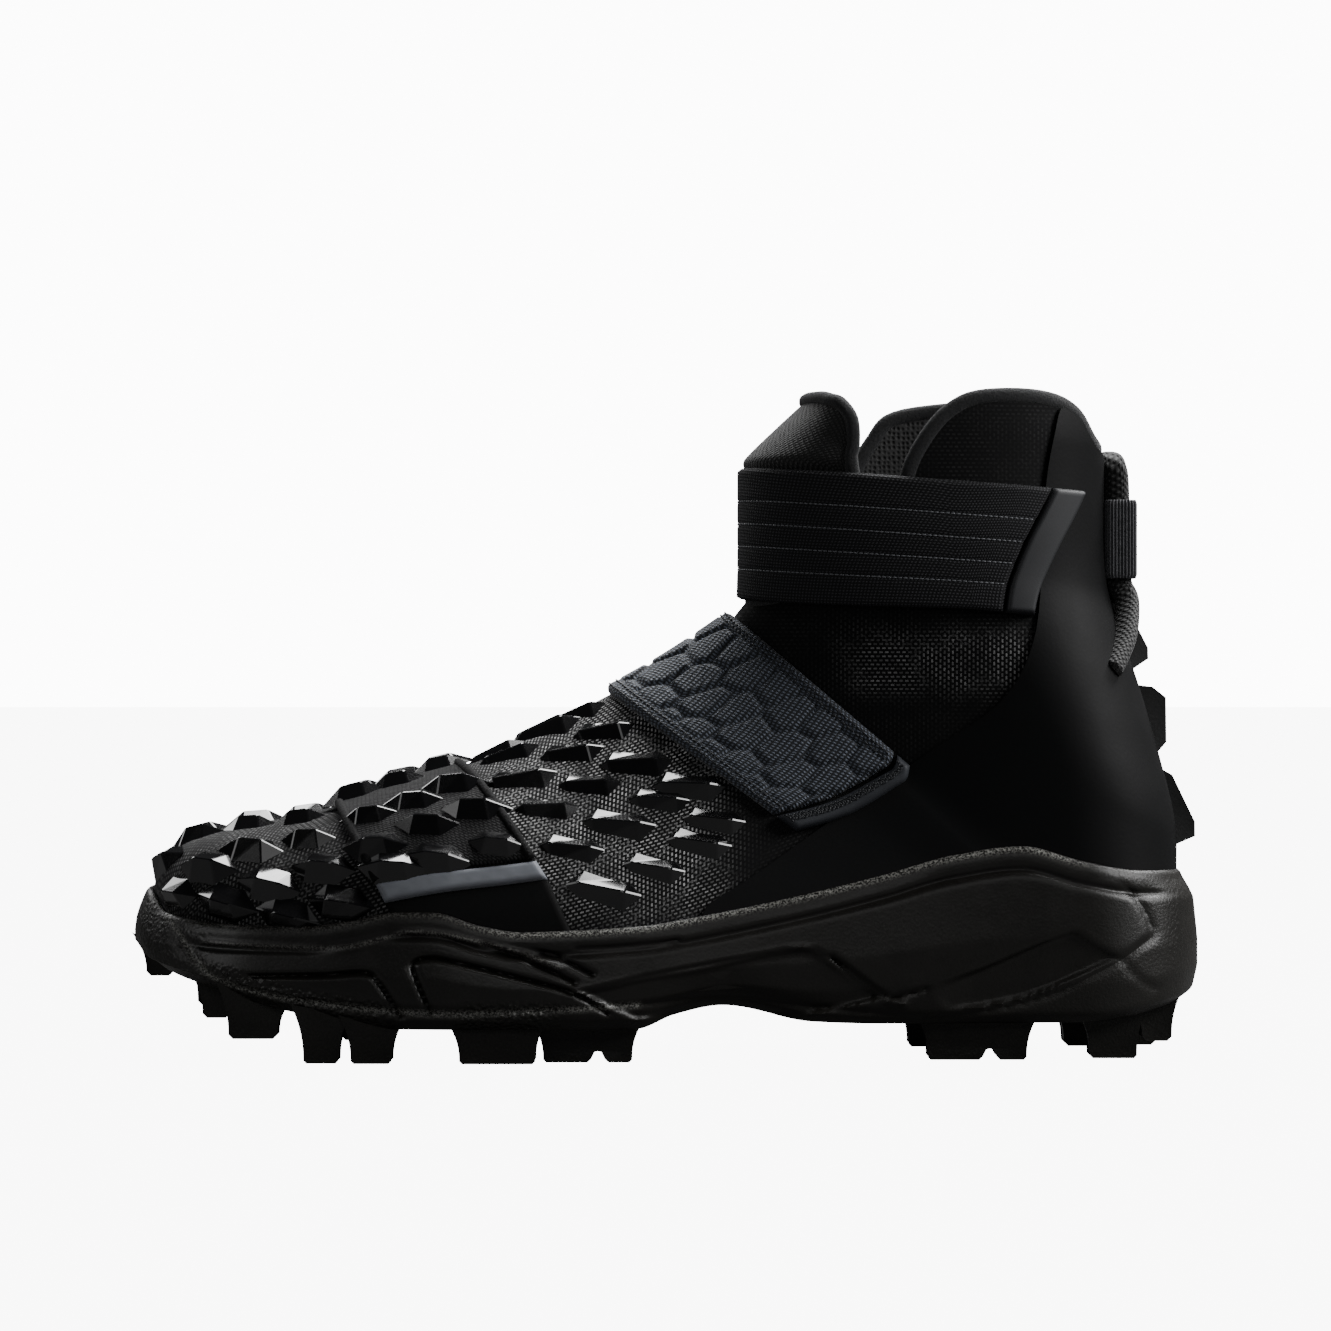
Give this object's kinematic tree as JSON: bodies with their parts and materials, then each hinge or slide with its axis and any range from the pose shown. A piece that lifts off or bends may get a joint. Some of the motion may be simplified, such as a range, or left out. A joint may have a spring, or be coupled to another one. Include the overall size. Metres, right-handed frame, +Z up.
{
  "type": "football cleat",
  "caption": "High-cut left football cleat with a faceted knit forefoot, hook-and-loop straps at forefoot, instep and ankle, a heel pull loop and a studded rubber sole.",
  "frame": {"origin": "bottom centre of the bounding box, on the floor the studs stand on", "axes": "+X from toe to heel, -Y to the outer side, +Z up"},
  "size_m": [0.3046, 0.1072, 0.1865],
  "materials": {
    "sole_rubber": "satin moulded black",
    "midsole_foam": "satin black foam skin",
    "insole_foam": "matte black cloth over foam",
    "upper_knit": "black open knit with glossy facets",
    "quarter_film": "smooth black film",
    "tongue_knit": "black ribbed knit",
    "facet_film": "glossy black facets on a corded strap",
    "grey_tape": "smooth grey pull tape",
    "ribbed_webbing": "ribbed dark blue-grey webbing",
    "elastic_webbing": "matte black elastic",
    "fin_rubber": "satin black"
  },
  "bodies": {
    "root": {"outsole": "sole_rubber", "midsole": "midsole_foam", "insole": "insole_foam", "upper": "upper_knit", "heel_quarter": "quarter_film", "tongue": "tongue_knit", "forefoot_strap": "facet_film", "forefoot_strap_hem": "grey_tape", "instep_strap": "ribbed_webbing", "instep_strap_hem": "grey_tape", "ankle_strap": "elastic_webbing", "ankle_strap_hem": "grey_tape", "pull_loop": "tongue_knit", "pull_loop_wrap": "elastic_webbing", "heel_fin_1": "fin_rubber", "heel_fin_2": "fin_rubber", "heel_fin_3": "fin_rubber"}
  },
  "joints": []
}
